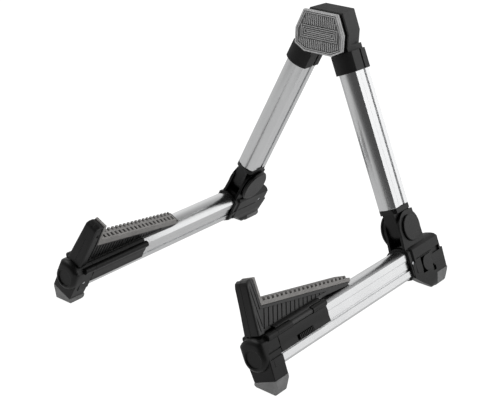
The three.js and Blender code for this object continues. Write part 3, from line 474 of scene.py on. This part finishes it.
head_radius = 1.55 * MM
head_seat = 0.1 * MM
turn_between = math.radians(37)
plated_screw = screw_head_mesh("plated_screw", head_radius, plated_steel)
blackened_screw = screw_head_mesh("blackened_screw", head_radius, blackened_steel)
arm_screws = [f"arm_screw_{i}" for i in range(1, 7)]
screw_facing = {"front_screw": -1, "rear_screw_outer": 1, "rear_screw_inner": -1, "collar_screw": -1}
screw_facing.update({screw: -1 for screw in arm_screws})
screw_body = {"collar_screw": "upper", **{screw: "arm" for screw in arm_screws}}
for side in sides:
    outward = leg_axes(side)[0]
    for order, (screw, facing) in enumerate(screw_facing.items()):
        name = f"{screw}_{side}"
        axis = outward * facing
        head_mesh = blackened_screw if screw in arm_screws else plated_screw
        piece = bpy.data.objects.new(f"cross_{name}", head_mesh)
        bpy.context.scene.collection.objects.link(piece)
        stand_up = axis.to_track_quat("Z", "Y").to_matrix().to_4x4()
        twist = Matrix.Rotation(turn_between * order, 4, "Z")
        seat = end_middle(name, axis) - axis * head_seat
        piece.matrix_world = Matrix.Translation(seat) @ stand_up @ twist
        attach(piece, f"{screw_body.get(screw, 'rail')}_{side}")
        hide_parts(name)


# Head pad: grey rubber moulding on the front of the head, with a raised rim, upright ribs above and
# below, and a plain band of nested bars across its middle.
pad_low, pad_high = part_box("head_pad")
pad_front, pad_back = pad_low.y, pad_high.y
pad_half, pad_top_half, pad_bottom_half = 26.6 * MM, 18.6 * MM, 15.5 * MM
pad_depth, pad_rim = 1.5 * MM, 1.5 * MM
hip_rise, shoulder_rise = 6.1 * MM, 15.1 * MM
pad_floor = pad_front + pad_depth
pad_hip = pad_low.z + hip_rise
pad_shoulder = pad_hip + shoulder_rise


def pad_outline(inset):
    """The octagon of the pad, drawn in by an inset, from its lower right corner upwards and round."""
    lower = (pad_bottom_half - inset * 0.5, pad_low.z + inset)
    hip = (pad_half - inset, pad_hip + inset * 0.5)
    shoulder = (pad_half - inset, pad_shoulder - inset * 0.25)
    upper = (pad_top_half - inset * 0.8, pad_high.z - inset)
    right = [lower, hip, shoulder, upper]
    return right + [(-x, z) for x, z in reversed(right)]


def half_width(z, inset):
    """Half of the pad's width at a height, drawn in by an inset."""
    corners = pad_outline(inset)[:4]
    for (x0, z0), (x1, z1) in zip(corners, corners[1:]):
        if z0 <= z <= z1:
            return x0 + (x1 - x0) * (z - z0) / (z1 - z0)
    return 0.0


pad_points, pad_faces = [], []


def closed_walls(rings):
    """Joins a run of [outline, depth] rings with walls, and closes both ends."""
    first = len(pad_points)
    count = len(rings[0][0])
    last = first + (len(rings) - 1) * count
    for outline, y in rings:
        pad_points.extend((x, y, z) for x, z in outline)
    for start in range(first, last, count):
        for i in range(count):
            j = (i + 1) % count
            pad_faces.append((start + i, start + j, start + count + j, start + count + i))
    pad_faces.append(tuple(first + i for i in range(count)))
    pad_faces.append(tuple(last + i for i in reversed(range(count))))


# The rim's two edges are rounded, and a low frame follows it on the inside.
rim_soft, rim_draft, back_soft = 0.45 * MM, 0.2 * MM, 0.4 * MM
rib_recess, frame_gap = 0.25 * MM, 0.75 * MM
frame_width, frame_soft, frame_draft = 0.75 * MM, 0.2 * MM, 0.05 * MM
rib_front = pad_front + rib_recess
frame_edge = pad_rim + frame_gap
closed_walls([
    (pad_outline(back_soft), pad_back),
    (pad_outline(0), pad_back - back_soft),
    (pad_outline(0), pad_front + rim_soft),
    (pad_outline(rim_soft * 0.35), pad_front + rim_soft * 0.3),
    (pad_outline(rim_soft), pad_front),
    (pad_outline(pad_rim - rim_soft), pad_front),
    (pad_outline(pad_rim - rim_soft * 0.3), pad_front + rim_soft * 0.35),
    (pad_outline(pad_rim), pad_front + rim_soft),
    (pad_outline(pad_rim + rim_draft), pad_floor),
    (pad_outline(frame_edge - frame_draft), pad_floor),
    (pad_outline(frame_edge), rib_front + frame_soft),
    (pad_outline(frame_edge + frame_soft), rib_front),
    (pad_outline(frame_edge + frame_width - frame_soft), rib_front),
    (pad_outline(frame_edge + frame_width), rib_front + frame_soft),
    (pad_outline(frame_edge + frame_width + frame_draft), pad_floor),
])


def raised_bar(x0, x1, z0, z1):
    """A bar with softened edges that stands on the pad's floor."""
    def frame_of(inset):
        low, high = z0 + inset, z1 - inset
        return [(x1 - inset, low), (x1 - inset, high), (x0 + inset, high), (x0 + inset, low)]

    closed_walls([
        (frame_of(-rib_soft * 0.3), pad_floor + rib_soft * 0.5),
        (frame_of(0), rib_front + rib_soft),
        (frame_of(rib_soft * 0.3), rib_front + rib_soft * 0.3),
        (frame_of(rib_soft), rib_front),
    ])


# Each rib is shortened until it keeps clear of the frame.
rib_pitch, rib_width, rib_soft = 2.15 * MM, 0.98 * MM, 0.2 * MM
rib_clearance, band_gap, trim = 2.2 * MM, 0.9 * MM, 0.1 * MM
band_start, band_height = 13.2 * MM, 12 * MM
rib_gap = pad_rim + rib_clearance
band_low = pad_low.z + band_start
band_high = band_low + band_height
upper_row = (band_high + band_gap, pad_high.z - rib_gap, 8)
lower_row = (pad_low.z + rib_gap, band_low - band_gap, 10)
for low, high, reach in (upper_row, lower_row):
    for i in range(-reach, reach + 1):
        x0 = rib_pitch * i - rib_width / 2
        x1 = x0 + rib_width
        outer = max(abs(x0), abs(x1))
        z0, z1 = low, high
        while z0 < z1 and half_width(z0, rib_gap) < outer:
            z0 += trim
        while z1 > z0 and half_width(z1, rib_gap) < outer:
            z1 -= trim
        if z1 - z0 > rib_width * 2:
            raised_bar(x0, x1, z0, z1)

# The band: three nested frames of bars round one short bar.
bar, bar_pitch = 0.9 * MM, 1.9 * MM
band_half, short_half = 20.4 * MM, 14 * MM
for ring in range(3):
    inset = bar_pitch * ring
    x1, z0, z1 = band_half - inset, band_low + inset, band_high - inset
    raised_bar(-x1, x1, z0, z0 + bar)
    raised_bar(-x1, x1, z1 - bar, z1)
    raised_bar(-x1, bar - x1, z0 + bar, z1 - bar)
    raised_bar(x1 - bar, x1, z0 + bar, z1 - bar)
band_middle = (band_low + band_high) / 2
raised_bar(-short_half, short_half, band_middle - bar * 0.6, band_middle + bar * 0.6)


# Depths at which the painted shade between the ribs starts, is full and ends.
rib_shade_top, rib_shade_full, rib_shade_end = 0.3 * MM, 0.2 * MM, 0.3 * MM


def rib_painted_shade(finish):
    """Painted shade between the ribs, which thins out towards their tops and behind the pad's floor."""
    depth = finish.along(back)
    below_tops = depth.ramp(rib_front + rib_shade_top, pad_floor - rib_shade_full)
    return below_tops * depth.ramp(pad_floor + rib_shade_end, pad_floor)


pad_mesh = bpy.data.meshes.new("ribbed_head_pad")
pad_mesh.from_pydata(pad_points, [], pad_faces)
pad_mesh.validate()
pad_mesh.materials.append(rubber_finish("head_pad_rubber", level=182, hollow_shade=rib_painted_shade))
head_pad = bpy.data.objects.new("ribbed_head_pad", pad_mesh)
bpy.context.scene.collection.objects.link(head_pad)
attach(head_pad, "upper_left")
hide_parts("head_pad")
